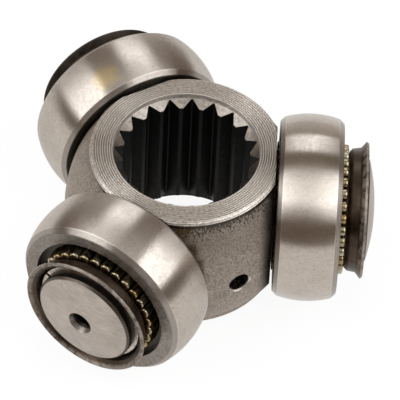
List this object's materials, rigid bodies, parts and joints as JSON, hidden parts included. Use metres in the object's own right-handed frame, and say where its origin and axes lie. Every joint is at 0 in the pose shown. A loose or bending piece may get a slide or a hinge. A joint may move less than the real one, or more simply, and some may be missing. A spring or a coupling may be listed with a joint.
{
  "type": "tripod joint spider assembly",
  "caption": "Tripod spider of a plunging constant-velocity joint: splined hub whose trunnions carry crowned rollers on needle rows, each held by a flared cup and a split ring.",
  "frame": {"origin": "joint centre, where the trunnion axes meet the axis of the splined bore, half way between the rim faces", "axes": "+Z along the splined bore, +X along the first trunnion"},
  "size_m": [0.074, 0.0822, 0.0404],
  "materials": {
    "forged_steel": "shot-blasted forging with turned faces and ground trunnions",
    "ground_steel": "satin ground",
    "needle_steel": "polished, wet with golden oil",
    "dark_steel": "dark brown heat-treated pressing",
    "spring_steel": "bright spring steel"
  },
  "bodies": {
    "spider": {"spider": "forged_steel", "snap_ring_1": "spring_steel", "snap_ring_2": "spring_steel", "snap_ring_3": "spring_steel"},
    "cup_1": {"retainer_cup_1": "dark_steel"},
    "roller_1": {"roller_1": "ground_steel"},
    "needles_1": {"needles_1": "needle_steel"},
    "cup_2": {"retainer_cup_2": "dark_steel"},
    "roller_2": {"roller_2": "ground_steel"},
    "needles_2": {"needles_2": "needle_steel"},
    "cup_3": {"retainer_cup_3": "dark_steel"},
    "roller_3": {"roller_3": "ground_steel"},
    "needles_3": {"needles_3": "needle_steel"}
  },
  "joints": [
    {"name": "roller_1_spin", "type": "hinge", "parent": "spider", "child": "cup_1", "pos_m": [0, 0, 0], "axis": [1, 0, 0], "continuous": true},
    {"name": "roller_1_slide", "type": "slide", "parent": "cup_1", "child": "roller_1", "axis": [1, 0, 0], "range_m": [-0.0005, 0.006]},
    {"name": "needles_1_orbit", "type": "hinge", "parent": "spider", "child": "needles_1", "pos_m": [0, 0, 0], "axis": [1, 0, 0], "continuous": true},
    {"name": "roller_2_spin", "type": "hinge", "parent": "spider", "child": "cup_2", "pos_m": [0, 0, 0], "axis": [-0.5, 0.866, 0], "continuous": true},
    {"name": "roller_2_slide", "type": "slide", "parent": "cup_2", "child": "roller_2", "axis": [-0.5, 0.866, 0], "range_m": [-0.0005, 0.006]},
    {"name": "needles_2_orbit", "type": "hinge", "parent": "spider", "child": "needles_2", "pos_m": [0, 0, 0], "axis": [-0.5, 0.866, 0], "continuous": true},
    {"name": "roller_3_spin", "type": "hinge", "parent": "spider", "child": "cup_3", "pos_m": [0, 0, 0], "axis": [-0.5, -0.866, 0], "continuous": true},
    {"name": "roller_3_slide", "type": "slide", "parent": "cup_3", "child": "roller_3", "axis": [-0.5, -0.866, 0], "range_m": [-0.0005, 0.006]},
    {"name": "needles_3_orbit", "type": "hinge", "parent": "spider", "child": "needles_3", "pos_m": [0, 0, 0], "axis": [-0.5, -0.866, 0], "continuous": true}
  ],
  "couplings": [
    {"joint": "needles_1_orbit", "follows": "roller_1_spin", "ratio": 0.55098},
    {"joint": "needles_2_orbit", "follows": "roller_2_spin", "ratio": 0.55098},
    {"joint": "needles_3_orbit", "follows": "roller_3_spin", "ratio": 0.55098}
  ]
}
